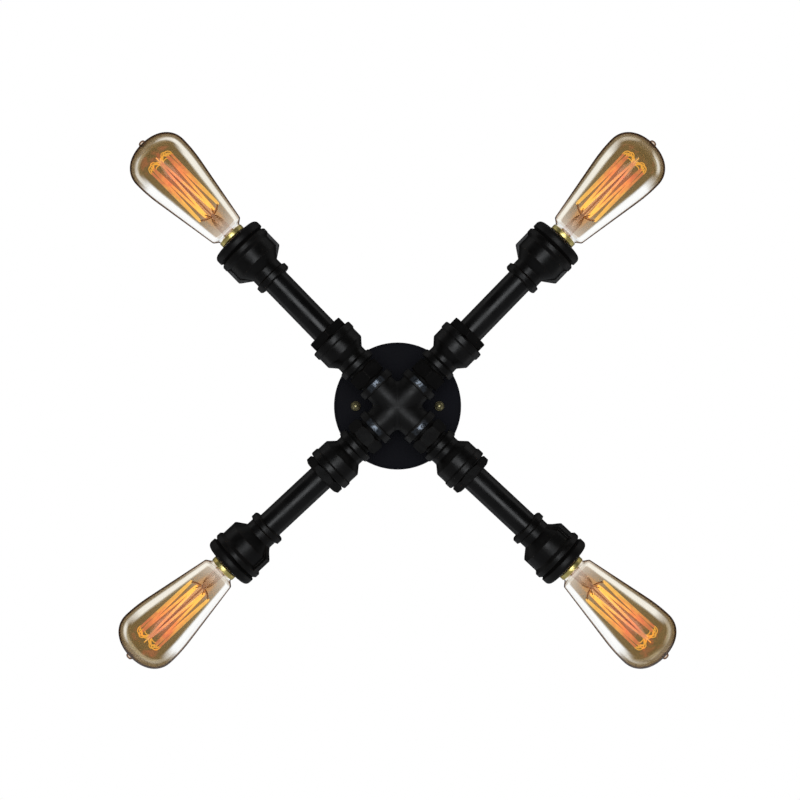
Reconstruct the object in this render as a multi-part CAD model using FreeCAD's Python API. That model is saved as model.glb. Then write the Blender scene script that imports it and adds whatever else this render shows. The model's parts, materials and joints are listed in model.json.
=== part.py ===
"""Four-light wall fitting built from threaded iron pipe, in millimetres.

The wall is the plane y = 0 and the room lies on the -Y side, with +Z up. The origin is the centre of the
bracket's back face. Four arms leave a five-way cross in one plane parallel to the wall. Along each arm come a
hex nipple, a reducer, a hex bushing, a length of pipe and a larger reducer that serves as the lamp cup.
"""

import FreeCAD
import Part
import math
import os

from FreeCAD import Vector

# --- arms: angle of each one in the plane of the arms, measured from +X towards +Z, in degrees
UPPER_ARM_RISE = 45.8          # the upper pair, above the horizontal
LOWER_ARM_DROP = 43.0          # the lower pair sits a little flatter
ARMS = {
    "upper_right": UPPER_ARM_RISE,
    "upper_left": 180.0 - UPPER_ARM_RISE,
    "lower_left": 180.0 + LOWER_ARM_DROP,
    "lower_right": 360.0 - LOWER_ARM_DROP,
}
LOWER_TURN = 30.0              # the lower arms are screwed this much further, seen on their hexagons

# --- pipe and thread sizes
PIPE_OD = 26.7                 # three-quarter inch pipe
PIPE_WALL = 2.9
INCH_THREAD_OD = 33.4          # one inch thread, large end of the inner reducer
CUP_THREAD_OD = 42.2           # inch-and-a-quarter thread, mouth of the lamp cup
THREAD_GAP = 0.1               # radial gap left between mating threads
ENGAGE = 13.5                  # length of a three-quarter inch thread inside a fitting
PIPE_END_GAP = 0.5             # room past the end of a thread before its shoulder

# --- fittings of the three-quarter inch size
FITTING_OD = 31.6              # plain body
BAND_OD = 37.0                 # raised band at each mouth
BAND_WIDTH = 7.6
CAST_ROUND = 1.6               # rounding of cast corners
CAST_FILLET = 2.6              # rounding of cast hollows
CAST_BEVEL = 1.3               # bevel of the lamp cup's corners
CROSS_REACH = 33.3             # cross centre to the face of each mouth
CROSS_BLEND = 4.0              # rounding where the branches of the cross meet

# --- hex nipple between cross and reducer
NIPPLE_SHOWS = 19.3            # distance between the two fittings it joins
NIPPLE_HEX_FLATS = 32.0
NIPPLE_HEX_LENGTH = 13.5
HEX_CHAMFER = 1.2

# --- inner reducer, one inch by three quarters, large end outwards
INNER_LENGTH = 40.2
INNER_BODY_OD = 44.6
INNER_BAND_OD = 47.0
INNER_BAND_WIDTH = 8.2
INNER_NECK = 13.6              # small mouth to the start of the swelling
INNER_SWELL = 7.4              # length of the swelling
INCH_ENGAGE = 13.0

# --- hex bushing that closes the large end of the inner reducer
BUSHING_FLATS = 38.4
BUSHING_HEAD = 9.0

# --- arm pipe
PIPE_SHOWS = 68.6

# --- lamp cup, inch and a quarter by three quarters
CUP_LENGTH = 45.2
CUP_BODY_OD = 49.0
CUP_BAND_OD = 55.6
CUP_BAND_WIDTH = 8.6
CUP_NECK = 14.6
CUP_SWELL = 8.4
CUP_BORE_DEPTH = 22.2
RIB_WIDTH = 7.0                # the two ribs along the cup's body
RIB_BELOW_BAND = 0.5
RIB_SINK = 1.5                 # how far a rib reaches into the wall that carries it

# --- lampholder
RING_OD = 54.6                 # rim that covers the mouth of the cup
RING_THICK = 8.9
RING_GROOVE_OD = 50.8          # groove between cup and rim
RING_GROOVE = 2.4
RING_NOSE_BEVEL = 3.2
RING_SKIRT = 6.0               # part of the ring inside the cup
RING_BORE = 30.6
HOLDER_GAP = 0.3               # radial gap between lampholder and cup
HOLDER_LENGTH = 14.2
HOLDER_FLOOR = 7.0
HOLDER_BEVEL = 2.5
HOLDER_SHELL_ID = 27.1
HOLDER_SHELL_WALL = 0.6
HOLDER_SHELL_LENGTH = 21.5
SHELL_SEAT_GAP = 0.15
TONGUE_WIDTH = 6.0
TONGUE_THICK = 0.5
TONGUE_LENGTH = 16.0

# --- bulb
CAP_OD = 26.3                  # crest of the screw cap
CAP_WALL = 0.6
CAP_LENGTH = 22.5
CAP_RIM_OD = 27.8              # plain rim at the open end of the cap
CAP_RIM_LENGTH = 5.4
CAP_SHOWS = 6.5                # cap that shows past the rim of the lampholder
FOOT_LENGTH = 4.5              # insulator and contact past the cap
FOOT_BASE_OD = 21.0
CONTACT_OD = 9.0
BULB_OD = 64.0
BULB_MAX_AT = 97.5             # cap edge to the widest point
DOME_LENGTH = 26.2             # widest point to the end of the dome
DOME_POWER = 2.2               # 2 is an ellipse, more is squarer
SHOULDER_OD = 37.0
SHOULDER_AT = 6.0              # cap edge to the shoulder
TAPER_OD = 59.2                # end of the straight taper
TAPER_AT = 70.3                # cap edge to the end of the straight taper
GLASS_WALL = 1.0
GLASS_IN_CAP = 5.2
TIP_OD = 7.6                   # sealed tip on the dome
TIP_LENGTH = 2.8
STEM_OD = 11.0
STEM_LENGTH = 24.0             # cap edge to the pinch of the stem
ROD_OD = 2.6
CAGE_OD = 26.5                 # filament cage
CAGE_START = 30.5              # cap edge to the lower hooks
CAGE_LENGTH = 65.0
HOOKS = 8
HOOK_OD = 0.7
FILAMENT_OD = 0.5
WIRE_TOUCH = 0.02              # gap left where fine wires lie on each other

# --- wall plate, stand-off and bracket
PLATE_OD = 127.0
PLATE_DEPTH = 22.0
PLATE_SHEET = 1.2
PLATE_ROUND = 4.0
STUD_SPACING = 83.3
STAND_OFF_SHOWS = 8.0          # bare nipple between cross and front locknut
LOCKNUT_FLATS = 36.0
LOCKNUT_THICK = 6.5
NIPPLE_PAST_NUT = 2.5
BAR_WIDTH = 20.0
BAR_THICK = 1.6
BAR_REACH = 50.0
BAR_STEP = 5.0                 # how far the ends stand off the wall
BAR_STEP_AT = 28.0
BAR_STEP_RUN = 5.0
BAR_HOLE_OD = 18.0
SLOT_SPACING = 65.0
SLOT_LENGTH = 15.0
SLOT_WIDTH = 4.6
STUD_OD = 4.0
STUD_CLEARANCE = 0.1
STUD_PAST_PLATE = 6.5
STUD_HEAD_OD = 8.0
STUD_HEAD = 2.6
PLATE_HOLE_OD = 5.2
CAP_NUT_OD = 9.6
CAP_NUT_SKIRT = 4.2
CAP_NUT_BORE_PAST = 1.0
EARTH_AT = 20.0
EARTH_OD = 4.0

# --- lead wires, two to each lampholder
WIRE_OD = 2.2
WIRE_PAIR = 3.4                # spacing of the two wires of a pair
WIRE_LANE = 5.6                # distance of a pair from the axis of the stand-off nipple
WIRE_BEND = 8.0
WIRE_TAIL = 6.0                # wire end to the wall

X = Vector(1, 0, 0)
Y = Vector(0, 1, 0)
Z = Vector(0, 0, 1)
ORIGIN = Vector(0, 0, 0)

# --- places along the wall axis
PLATE_FRONT = -PLATE_DEPTH
CROSS_BACK = PLATE_FRONT - LOCKNUT_THICK - STAND_OFF_SHOWS
ARM_PLANE = CROSS_BACK - CROSS_REACH
STUD_X = STUD_SPACING / 2

# --- places along an arm, from the centre of the cross
CROSS_FACE = CROSS_REACH
INNER_SMALL = CROSS_FACE + NIPPLE_SHOWS
INNER_LARGE = INNER_SMALL + INNER_LENGTH
BUSHING_FACE = INNER_LARGE + BUSHING_HEAD
CUP_SMALL = BUSHING_FACE + PIPE_SHOWS
CUP_MOUTH = CUP_SMALL + CUP_LENGTH
RIM_FACE = CUP_MOUTH + RING_GROOVE + RING_THICK
CAP_EDGE = RIM_FACE + CAP_SHOWS
HOLDER_FRONT = CUP_MOUTH - RING_SKIRT
HOLDER_BACK = HOLDER_FRONT - HOLDER_LENGTH
FOOT_TIP = CAP_EDGE - CAP_LENGTH - FOOT_LENGTH

PIPE_BORE = PIPE_OD - 2 * PIPE_WALL
SOCKET_R = PIPE_OD / 2 + THREAD_GAP
PASSAGE_R = PIPE_OD / 2 - 1.5


def outline(points):
    """Closed wire in the XY plane. Each point is (x, y) or (x, y, corner radius)."""
    edges = []
    count = len(points)
    starts, ends, arcs = [], [], []
    for i, point in enumerate(points):
        here = Vector(point[0], point[1], 0)
        radius = point[2] if len(point) > 2 else 0.0
        before = Vector(*points[i - 1][:2], 0) - here
        after = Vector(*points[(i + 1) % count][:2], 0) - here
        before.normalize()
        after.normalize()
        half = before.getAngle(after) / 2
        if radius <= 0 or abs(half - math.pi / 2) < 1e-6:
            starts.append(here)
            ends.append(here)
            arcs.append(None)
            continue
        run = radius / math.tan(half)
        middle = (before + after).normalize()
        centre = here + middle * (radius / math.sin(half))
        starts.append(here + before * run)
        ends.append(here + after * run)
        arcs.append(centre - middle * radius)
    for i in range(count):
        if arcs[i] is not None:
            edges.append(Part.Arc(starts[i], arcs[i], ends[i]).toShape())
        nxt = (i + 1) % count
        if ends[i].distanceToPoint(starts[nxt]) > 1e-6:
            edges.append(Part.makeLine(ends[i], starts[nxt]))
    return Part.Wire(edges)


def turned(points):
    """Solid of revolution about the X axis from an outline given as (x, radius[, corner radius])."""
    return Part.Face(outline(points)).revolve(ORIGIN, X, 360)


def rod(start, end, diameter):
    """Plain cylinder between two points."""
    along = end - start
    return Part.makeCylinder(diameter / 2, along.Length, start, along)


def hexagon(x0, x1, flats, chamfer):
    """Hexagonal bar along X with both ends chamfered."""
    corner = flats / math.sqrt(3)
    ring = [Vector(x0, corner * math.cos(math.radians(60 * k)), corner * math.sin(math.radians(60 * k)))
            for k in range(6)]
    bar = Part.Face(Part.makePolygon(ring + ring[:1])).extrude(Vector(x1 - x0, 0, 0))
    low = flats / 2 - chamfer * 0.2
    slope = chamfer / 2
    trim = turned([(x0, 0), (x0, low), (x0 + slope + chamfer, corner), (x1 - slope - chamfer, corner),
                   (x1, low), (x1, 0)])
    return bar.common(trim)


def drilled(solid, x0, x1, radius):
    """The solid less a round hole along X."""
    return solid.cut(Part.makeCylinder(radius, x1 - x0, Vector(x0, 0, 0), X))


def on_arm(shape, arm):
    """A copy of a shape drawn along +X from the cross centre, carried to an arm."""
    placed = shape.copy()
    if arm.startswith("lower"):
        placed.rotate(ORIGIN, X, LOWER_TURN)
    placed.rotate(ORIGIN, Y, -ARMS[arm])
    placed.translate(Vector(0, ARM_PLANE, 0))
    return placed


def on_wall_axis(shape):
    """A copy of a shape drawn along +X, turned so that +X points at the wall."""
    placed = shape.copy()
    placed.rotate(ORIGIN, Z, 90)
    return placed


# ---------------------------------------------------------------- fittings


def branch():
    """One branch of the cross along +X: tube and banded mouth, solid inside."""
    band = CROSS_REACH - BAND_WIDTH
    return turned([(0, 0), (0, FITTING_OD / 2), (band, FITTING_OD / 2), (band, BAND_OD / 2, CAST_ROUND / 2),
                   (CROSS_REACH, BAND_OD / 2, CAST_ROUND / 2), (CROSS_REACH, 0)])


def branch_bore():
    """Thread and passage of one branch."""
    seat = CROSS_REACH - ENGAGE - PIPE_END_GAP
    return turned([(0, 0), (0, PASSAGE_R), (seat, PASSAGE_R), (seat, SOCKET_R),
                   (CROSS_REACH, SOCKET_R), (CROSS_REACH, 0)])


def five_ways(shape):
    """Copies of a shape drawn along +X on the four arms and on the branch towards the wall."""
    ways = [on_arm(shape, arm) for arm in ARMS]
    return ways + [on_wall_axis(shape).translated(Vector(0, ARM_PLANE, 0))]


def pipe_cross():
    """Five-way cross: four branches in the plane of the arms and one towards the wall."""
    ways = five_ways(branch())
    body = ways[0].fuse(ways[1:]).Solids[0]
    return blend_branches(body).cut(five_ways(branch_bore()))


def blend_branches(body):
    """Rounds the creases where the branches meet, as a casting has them."""
    centre = Vector(0, ARM_PLANE, 0)
    creases = [edge for edge in body.Edges if isinstance(edge.Curve, Part.Ellipse)
               and all(v.Point.distanceToPoint(centre) > FITTING_OD / 2 - CAST_ROUND for v in edge.Vertexes)]
    return body.makeFillet(CROSS_BLEND, creases).Solids[0]


def hex_nipple():
    """Male-male nipple with a hexagon in its middle."""
    middle = CROSS_FACE + NIPPLE_SHOWS / 2
    hexed = hexagon(middle - NIPPLE_HEX_LENGTH / 2, middle + NIPPLE_HEX_LENGTH / 2, NIPPLE_HEX_FLATS,
                    HEX_CHAMFER)
    start = CROSS_FACE - ENGAGE
    end = INNER_SMALL + ENGAGE
    thread = turned([(start, 0), (start, PIPE_OD / 2, 0.8), (end, PIPE_OD / 2, 0.8), (end, 0)])
    return drilled(hexed.fuse(thread), start, end, PIPE_BORE / 2)


def inner_reducer():
    """Cast reducer along +X: banded small mouth, swelling body and banded large mouth."""
    small, large = INNER_SMALL, INNER_LARGE
    neck, swell = small + INNER_NECK, small + INNER_NECK + INNER_SWELL
    body, tube, band, lip = INNER_BODY_OD / 2, FITTING_OD / 2, BAND_OD / 2, INNER_BAND_OD / 2
    step = INCH_THREAD_OD / 2 + THREAD_GAP
    seat = small + ENGAGE + PIPE_END_GAP
    bottom = large - INCH_ENGAGE - PIPE_END_GAP
    start = large - INNER_BAND_WIDTH
    return turned([
        (small, SOCKET_R),
        (small, band, CAST_ROUND),
        (small + BAND_WIDTH, band, CAST_ROUND),
        (small + BAND_WIDTH, tube, CAST_FILLET / 2),
        (neck, tube, CAST_FILLET),
        (swell, body, CAST_FILLET),
        (start, body, CAST_FILLET / 2),
        (start + lip - body, lip, CAST_ROUND / 2),
        (large, lip, CAST_ROUND),
        (large, step),
        (bottom, step),
        (bottom - (step - PASSAGE_R) / 2, PASSAGE_R),
        (seat, PASSAGE_R),
        (seat, SOCKET_R)])


def hex_bushing():
    """Hexagonal head against the reducer, thread inside it, bored for the arm pipe."""
    head = hexagon(INNER_LARGE, BUSHING_FACE, BUSHING_FLATS, HEX_CHAMFER)
    start = INNER_LARGE - INCH_ENGAGE
    thread = turned([(start, 0), (start, INCH_THREAD_OD / 2, 0.8), (INNER_LARGE, INCH_THREAD_OD / 2),
                     (INNER_LARGE, 0)])
    plug = drilled(head.fuse(thread), start, BUSHING_FACE, PASSAGE_R)
    return drilled(plug, BUSHING_FACE - ENGAGE - PIPE_END_GAP, BUSHING_FACE, SOCKET_R)


def arm_pipe():
    start = BUSHING_FACE - ENGAGE
    end = CUP_SMALL + ENGAGE
    return turned([(start, PIPE_BORE / 2), (start, PIPE_OD / 2, 0.8), (end, PIPE_OD / 2, 0.8),
                   (end, PIPE_BORE / 2)])


def lamp_cup():
    """Cast reducer that holds the lampholder, with a rib on each side. Its corners are bevelled."""
    small, large = CUP_SMALL, CUP_MOUTH
    bevel = CAST_BEVEL
    neck, swell = small + CUP_NECK, small + CUP_NECK + CUP_SWELL
    body, tube, band, lip = CUP_BODY_OD / 2, FITTING_OD / 2, BAND_OD / 2, CUP_BAND_OD / 2
    step = CUP_THREAD_OD / 2 + THREAD_GAP
    seat = small + ENGAGE + PIPE_END_GAP
    bottom = large - CUP_BORE_DEPTH
    start = large - CUP_BAND_WIDTH
    cup = turned([
        (small, SOCKET_R),
        (small, band - bevel),
        (small + bevel, band),
        (small + BAND_WIDTH - bevel, band),
        (small + BAND_WIDTH, tube),
        (neck, tube),
        (swell, body - bevel),
        (swell + bevel, body),
        (start, body),
        (start + lip - body, lip),
        (large - bevel, lip),
        (large, lip - bevel),
        (large, step),
        (bottom, step),
        (bottom - (step - PASSAGE_R) / 2, PASSAGE_R),
        (seat, PASSAGE_R),
        (seat, SOCKET_R)])
    top = lip - RIB_BELOW_BAND
    end = start + lip - body
    rib = outline([(neck, tube - RIB_SINK), (neck, tube), (swell - bevel, top - bevel), (swell, top),
                   (end, top), (end, body - RIB_SINK), (swell, body - RIB_SINK)])
    rib = Part.Face(rib).extrude(Vector(0, 0, RIB_WIDTH)).translated(Vector(0, 0, -RIB_WIDTH / 2))
    return cup.fuse([rib.rotated(ORIGIN, X, side) for side in (90, -90)])


# ---------------------------------------------------------------- lampholder


def lampholder():
    """Insulating cup that carries the screw shell, with two holes at its back for the wires' ends."""
    outer = CUP_THREAD_OD / 2 + THREAD_GAP - HOLDER_GAP
    well = HOLDER_SHELL_ID / 2 + HOLDER_SHELL_WALL + SHELL_SEAT_GAP
    floor = HOLDER_BACK + HOLDER_FLOOR
    bevel = HOLDER_BEVEL
    return turned([(HOLDER_BACK, 0), (HOLDER_BACK, outer - bevel), (HOLDER_BACK + bevel, outer),
                   (HOLDER_FRONT, outer), (HOLDER_FRONT, well), (floor, well), (floor, 0)])


def holder_ring():
    """Ring screwed on the lampholder: its rim closes the mouth of the cup."""
    skirt = CUP_THREAD_OD / 2 + THREAD_GAP - HOLDER_GAP
    bore = RING_BORE / 2
    rim = CUP_MOUTH + RING_GROOVE
    nose = RING_NOSE_BEVEL
    return turned([(HOLDER_FRONT, bore), (HOLDER_FRONT, skirt), (CUP_MOUTH, skirt),
                   (CUP_MOUTH, RING_GROOVE_OD / 2), (rim, RING_GROOVE_OD / 2), (rim, RING_OD / 2),
                   (RIM_FACE - nose, RING_OD / 2), (RIM_FACE, RING_OD / 2 - nose), (RIM_FACE, bore)])


def holder_shell():
    """Brass screw shell standing on the floor of the lampholder."""
    inner = HOLDER_SHELL_ID / 2
    outer = inner + HOLDER_SHELL_WALL
    start = HOLDER_BACK + HOLDER_FLOOR
    end = start + HOLDER_SHELL_LENGTH
    return turned([(start, inner), (start, outer), (end, outer), (end, inner)])


def centre_tongue():
    """Bent contact strip on the floor of the lampholder, under the foot of the bulb."""
    floor = HOLDER_BACK + HOLDER_FLOOR
    rise = FOOT_TIP - HOLDER_SHELL_WALL / 2
    half = TONGUE_LENGTH / 2
    top = half / 3
    strip = [(floor, -half), (floor, -half + 3), (rise - TONGUE_THICK, -top, 1.0),
             (rise - TONGUE_THICK, top), (rise, top), (rise, -top, 1.0),
             (floor + TONGUE_THICK, -half + 3), (floor + TONGUE_THICK, -half)]
    face = Part.Face(outline(strip))
    return face.extrude(Vector(0, 0, TONGUE_WIDTH)).translated(Vector(0, 0, -TONGUE_WIDTH / 2))


# ---------------------------------------------------------------- bulb


def bulb_cap():
    """Screw cap of the bulb: thin shell with a plain rim at its open end."""
    bottom = CAP_EDGE - CAP_LENGTH
    crest = CAP_OD / 2
    rim = CAP_RIM_OD / 2
    step = CAP_EDGE - CAP_RIM_LENGTH
    return turned([(bottom, FOOT_BASE_OD / 2), (bottom, crest, 1.2), (step - 1, crest), (step, rim, 0.3),
                   (CAP_EDGE, rim), (CAP_EDGE, rim - CAP_WALL), (step, rim - CAP_WALL),
                   (step - 1, crest - CAP_WALL), (bottom + CAP_WALL, crest - CAP_WALL, 0.6),
                   (bottom + CAP_WALL, FOOT_BASE_OD / 2)])


def bulb_contact():
    """Insulating foot with the rounded centre contact."""
    bottom = CAP_EDGE - CAP_LENGTH + CAP_WALL
    return turned([(bottom, 0), (bottom, FOOT_BASE_OD / 2 - THREAD_GAP),
                   (bottom - CAP_WALL - 0.6, FOOT_BASE_OD / 2 - THREAD_GAP),
                   (FOOT_TIP + 1.4, CONTACT_OD / 2 + 1), (FOOT_TIP + 1.4, CONTACT_OD / 2),
                   (FOOT_TIP, CONTACT_OD / 2, 1.2), (FOOT_TIP, 0)])


def glass_side(inset):
    """Edges of the bulb's wall from the neck to the dome's end, set in by the given amount."""
    neck = Vector(CAP_EDGE + SHOULDER_AT / 10, CAP_RIM_OD / 2 - CAP_WALL - THREAD_GAP - inset, 0)
    shoulder = Vector(CAP_EDGE + SHOULDER_AT, SHOULDER_OD / 2 - inset, 0)
    taper = Vector(CAP_EDGE + TAPER_AT, TAPER_OD / 2 - inset, 0)
    widest = Vector(CAP_EDGE + BULB_MAX_AT, BULB_OD / 2 - inset, 0)
    slope = taper - shoulder
    straight = Part.makeLine(Vector(CAP_EDGE - GLASS_IN_CAP, neck.y, 0), neck)
    flare = smooth([neck, shoulder], X, slope)
    side = Part.makeLine(shoulder, taper)
    belly = smooth([taper, widest], slope, X)
    length = DOME_LENGTH - inset
    rise = [math.radians(a) for a in (0, 15, 30, 45, 60, 75, 90)]
    dome = smooth([Vector(widest.x + length * math.sin(a) ** (2 / DOME_POWER),
                          widest.y * math.cos(a) ** (2 / DOME_POWER), 0) for a in rise], X, -Y)
    return [straight, flare, side, belly, dome]


def smooth(points, first, last):
    """Edge through points that leaves and arrives along the given directions."""
    curve = Part.BSplineCurve()
    curve.interpolate(points, InitialTangent=first, FinalTangent=last)
    return curve.toShape()


def bulb_glass():
    """Pear-shaped envelope, hollow, open into the cap, with the sealed tip on its dome."""
    outer = glass_side(0)
    inner = glass_side(GLASS_WALL)
    mouth_out, mouth_in = outer[0].Vertexes[0].Point, inner[0].Vertexes[0].Point
    end_out, end_in = outer[-1].Vertexes[-1].Point, inner[-1].Vertexes[-1].Point
    closed = Part.Wire(outer + [Part.makeLine(end_out, end_in)] + inner[::-1]
                       + [Part.makeLine(mouth_in, mouth_out)])
    shell = Part.Face(closed).revolve(ORIGIN, X, 360)
    dome_end = CAP_EDGE + BULB_MAX_AT + DOME_LENGTH
    tip = turned([(dome_end - GLASS_WALL / 2, 0), (dome_end - GLASS_WALL / 2, TIP_OD / 2 - 0.6),
                  (dome_end + TIP_LENGTH / 2, TIP_OD / 2, 1.6), (dome_end + TIP_LENGTH, TIP_OD / 5, 0.6),
                  (dome_end + TIP_LENGTH, 0)])
    return shell.fuse(tip)


def bulb_stem():
    """Flared glass stem, its pinch and the thin rod that carries the upper hooks."""
    start = CAP_EDGE - GLASS_IN_CAP
    flare = CAP_RIM_OD / 2 - CAP_WALL - THREAD_GAP - GLASS_WALL - WIRE_TOUCH
    pinch = CAP_EDGE + STEM_LENGTH
    top = CAP_EDGE + CAGE_START + CAGE_LENGTH + 3
    return turned([(start, 0), (start, flare), (start + 1.5, flare, 0.5), (start + 7, STEM_OD / 2, 4.0),
                   (pinch - 8, STEM_OD / 2, 2.0), (pinch, STEM_OD / 3, 1.0), (pinch + 2, ROD_OD / 2, 1.0),
                   (top - 5, ROD_OD / 2), (top - 4, ROD_OD / 2 + 0.8, 0.5), (top, ROD_OD / 2 + 0.8, 0.8),
                   (top, 0)])


def round_axis(x, radius, angle):
    """Point at a distance along the arm, turned about the bulb's axis by an angle in degrees."""
    return Vector(x, radius * math.cos(math.radians(angle)), radius * math.sin(math.radians(angle)))


def bulb_filament():
    """Cage of straight filament strands hung between two crowns of hooks on the rod."""
    low = CAP_EDGE + CAGE_START
    high = low + CAGE_LENGTH
    reach = CAGE_OD / 2
    root = ROD_OD / 2 + WIRE_TOUCH
    pitch = 360.0 / HOOKS
    aside = math.degrees((HOOK_OD + FILAMENT_OD) / 2 / reach * 1.06)
    wires = []
    for k in range(HOOKS):
        for x, turn, base in ((low, 0.5, root), (high, 0.0, root + 0.8)):
            angle = (k + turn) * pitch
            wires.append(rod(round_axis(x, base, angle), round_axis(x, reach + HOOK_OD, angle), HOOK_OD))
        for side in (-1, 1):
            wires.append(rod(round_axis(high + HOOK_OD, reach, k * pitch + side * aside),
                             round_axis(low - HOOK_OD, reach, (k + side * 0.5) * pitch - side * aside),
                             FILAMENT_OD))
    return Part.Compound(wires)


# ---------------------------------------------------------------- wall end


def wall_plate():
    """Spun sheet pan, open at the back, with the nipple hole and two stud holes in its front."""
    r = PLATE_OD / 2
    pan = turned([(PLATE_FRONT, 0), (PLATE_FRONT, r, PLATE_ROUND), (0, r), (0, r - PLATE_SHEET),
                  (PLATE_FRONT + PLATE_ROUND, r - PLATE_SHEET),
                  (PLATE_FRONT + PLATE_SHEET, r - PLATE_ROUND),
                  (PLATE_FRONT + PLATE_SHEET, 0)])
    pan = drilled(pan, PLATE_FRONT, 0, SOCKET_R + THREAD_GAP)
    pan = on_wall_axis(pan)
    for side in (-1, 1):
        pan = pan.cut(rod(Vector(side * STUD_X, PLATE_FRONT, 0), Vector(side * STUD_X, 0, 0), PLATE_HOLE_OD))
    return pan


def stand_off_nipple():
    """Short pipe from the back of the cross through the wall plate."""
    start = CROSS_BACK - ENGAGE
    end = PLATE_FRONT + PLATE_SHEET + LOCKNUT_THICK + NIPPLE_PAST_NUT
    return on_wall_axis(turned([(start, PIPE_BORE / 2), (start, PIPE_OD / 2, 0.8), (end, PIPE_OD / 2, 0.8),
                                (end, PIPE_BORE / 2)]))


def locknuts():
    """The two nuts that clamp the wall plate on the nipple, one each side of the sheet."""
    starts = (PLATE_FRONT - LOCKNUT_THICK, PLATE_FRONT + PLATE_SHEET)
    nuts = []
    for start in starts:
        nut = hexagon(start, start + LOCKNUT_THICK, LOCKNUT_FLATS, HEX_CHAMFER)
        nuts.append(on_wall_axis(drilled(nut, start, start + LOCKNUT_THICK, SOCKET_R)))
    return Part.Compound(nuts)


def mounting_bar():
    """Cross-shaped strap: stepped arms for the studs, flat arms with slots for the wall screws."""
    t = BAR_THICK
    half = BAR_WIDTH / 2
    near = BAR_STEP_AT
    far = BAR_STEP_AT + BAR_STEP_RUN
    path = [(-BAR_REACH, -BAR_STEP), (-far, -BAR_STEP, 2), (-near, 0, 2), (near, 0, 2), (far, -BAR_STEP, 2),
            (BAR_REACH, -BAR_STEP), (BAR_REACH, -BAR_STEP - t), (far, -BAR_STEP - t, 2), (near, -t, 2),
            (-near, -t, 2), (-far, -BAR_STEP - t, 2), (-BAR_REACH, -BAR_STEP - t)]
    level = Part.Face(outline(path)).extrude(Vector(0, 0, BAR_WIDTH)).translated(Vector(0, 0, -half))
    upright = Part.makeBox(BAR_WIDTH, t, 2 * BAR_REACH, Vector(-half, -t, -BAR_REACH))
    ends = Part.makeCylinder(BAR_REACH, BAR_STEP + t, Vector(0, -BAR_STEP - t, 0), Y)
    bar = level.fuse(upright).common(ends)
    holes = [rod(Vector(0, -t, 0), Vector(0, 0, 0), BAR_HOLE_OD),
             rod(Vector(EARTH_AT, -t, 0), Vector(EARTH_AT, 0, 0), EARTH_OD + 2 * STUD_CLEARANCE)]
    for side in (-1, 1):
        holes.append(rod(Vector(side * STUD_X, -BAR_STEP - t, 0), Vector(side * STUD_X, -BAR_STEP, 0),
                         STUD_OD + 2 * STUD_CLEARANCE))
        holes += slot(side * SLOT_SPACING / 2)
    return bar.cut(holes)


def slot(z):
    """Cutters for one upright slot in the flat arm of the bar."""
    run = (SLOT_LENGTH - SLOT_WIDTH) / 2
    ends = [rod(Vector(0, -BAR_THICK, z + s * run), Vector(0, 0, z + s * run), SLOT_WIDTH) for s in (-1, 1)]
    waist = Part.makeBox(SLOT_WIDTH, BAR_THICK, 2 * run, Vector(-SLOT_WIDTH / 2, -BAR_THICK, z - run))
    return ends + [waist]


def mounting_studs():
    """Two screws whose heads sit behind the stepped ends of the bar and whose shanks pass the plate."""
    studs = []
    tip = PLATE_FRONT - STUD_PAST_PLATE
    for side in (-1, 1):
        at = side * STUD_X
        shank = rod(Vector(at, -BAR_STEP, 0), Vector(at, tip, 0), STUD_OD)
        head = rod(Vector(at, -BAR_STEP, 0), Vector(at, -BAR_STEP + STUD_HEAD, 0), STUD_HEAD_OD)
        studs.append(shank.fuse(head))
    return Part.Compound(studs)


def earth_screw():
    """Earth terminal screw in the flat part of the bar."""
    face = -BAR_THICK
    head = turned([(face - 2.6, 0), (face - 2.6, 4.0, 1.0), (face, 4.0), (face, 0)])
    shank = rod(Vector(face, 0, 0), Vector(0, 0, 0), EARTH_OD)
    return on_wall_axis(head.fuse(shank)).translated(Vector(EARTH_AT, 0, 0))


def cap_nut(side):
    """Round brass nut with a domed end, blind threaded, on one stud."""
    r = CAP_NUT_OD / 2
    depth = STUD_PAST_PLATE + CAP_NUT_BORE_PAST
    nut = turned([(0, 0), (0, r, 0.4), (-CAP_NUT_SKIRT, r, 0.3), (-CAP_NUT_SKIRT, r - 0.6),
                  (-CAP_NUT_SKIRT - r * 0.55, r - 0.6, r * 0.5), (-CAP_NUT_SKIRT - r, r * 0.3, 0.8),
                  (-CAP_NUT_SKIRT - r, 0)])
    nut = drilled(nut, -depth, 0, STUD_OD / 2 + STUD_CLEARANCE)
    return on_wall_axis(nut).translated(Vector(side * STUD_X, PLATE_FRONT, 0))


def lead_wires():
    """A pair of wires from each lampholder, through the arm and the cross, to the space behind the plate."""
    wires = []
    for angle in ARMS.values():
        out = Vector(math.cos(math.radians(angle)), 0, math.sin(math.radians(angle)))
        across = out.cross(Y)
        for side in (-1, 1):
            lane = Vector(0, ARM_PLANE, 0) + across * (side * WIRE_PAIR / 2)
            start = lane + out * HOLDER_BACK
            bend = lane + out * (WIRE_LANE + WIRE_BEND)
            turn = lane + out * WIRE_LANE + Y * WIRE_BEND
            short = WIRE_BEND * (1 - math.sqrt(0.5))
            middle = lane + out * (WIRE_LANE + short) + Y * short
            finish = Vector(turn.x, -WIRE_TAIL, turn.z)
            path = Part.Wire([Part.makeLine(start, bend), Part.Arc(bend, middle, turn).toShape(),
                              Part.makeLine(turn, finish)])
            ring = Part.Wire([Part.makeCircle(WIRE_OD / 2, start, out)])
            wires.append(path.makePipeShell([ring], True, True))
    return Part.Compound(wires)


def save(name, shape):
    """Writes one node, after checking that it is made of sound closed solids."""
    solids = [s for s in shape.Solids]
    assert solids and all(s.isValid() and s.isClosed() and s.Volume > 0 for s in solids), name
    whole = solids[0] if len(solids) == 1 else Part.Compound(solids)
    whole.exportStep(os.path.join("parts", name + ".step"))


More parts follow.
